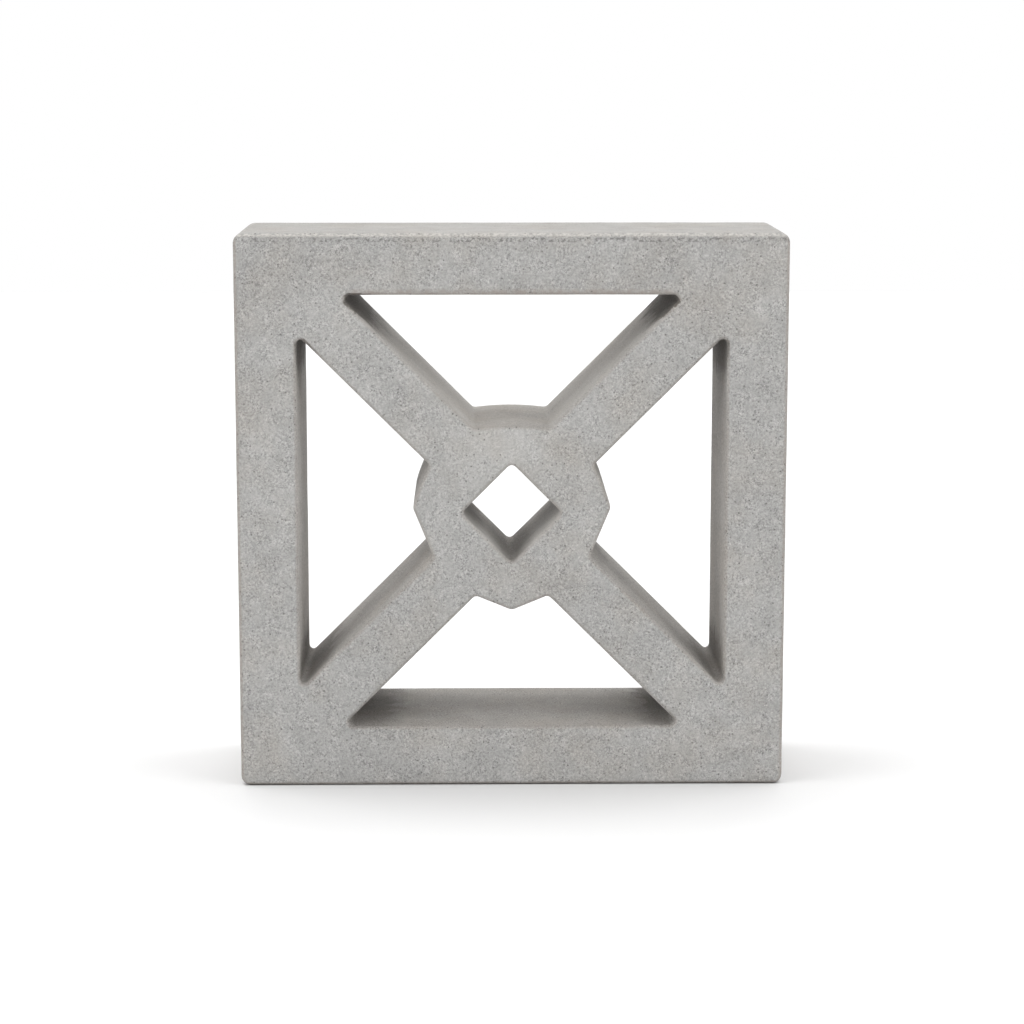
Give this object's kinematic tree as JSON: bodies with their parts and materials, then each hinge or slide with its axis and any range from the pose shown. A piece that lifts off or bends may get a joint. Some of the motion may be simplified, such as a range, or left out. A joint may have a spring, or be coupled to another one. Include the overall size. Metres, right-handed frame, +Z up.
{
  "type": "decorative screen block",
  "caption": "Nearly square concrete screen block: an open frame crossed by slanting arms that meet at a hub with a diamond hole, stacked to make pierced walls.",
  "frame": {"origin": "centre of the bottom face, which the block stands on", "axes": "+Z up, +X along the width, +Y along the depth from the front face to the back"},
  "size_m": [0.292, 0.092, 0.297],
  "materials": {
    "concrete": "matte, fine-grained"
  },
  "bodies": {
    "root": {"screen_block": "concrete"}
  },
  "joints": []
}
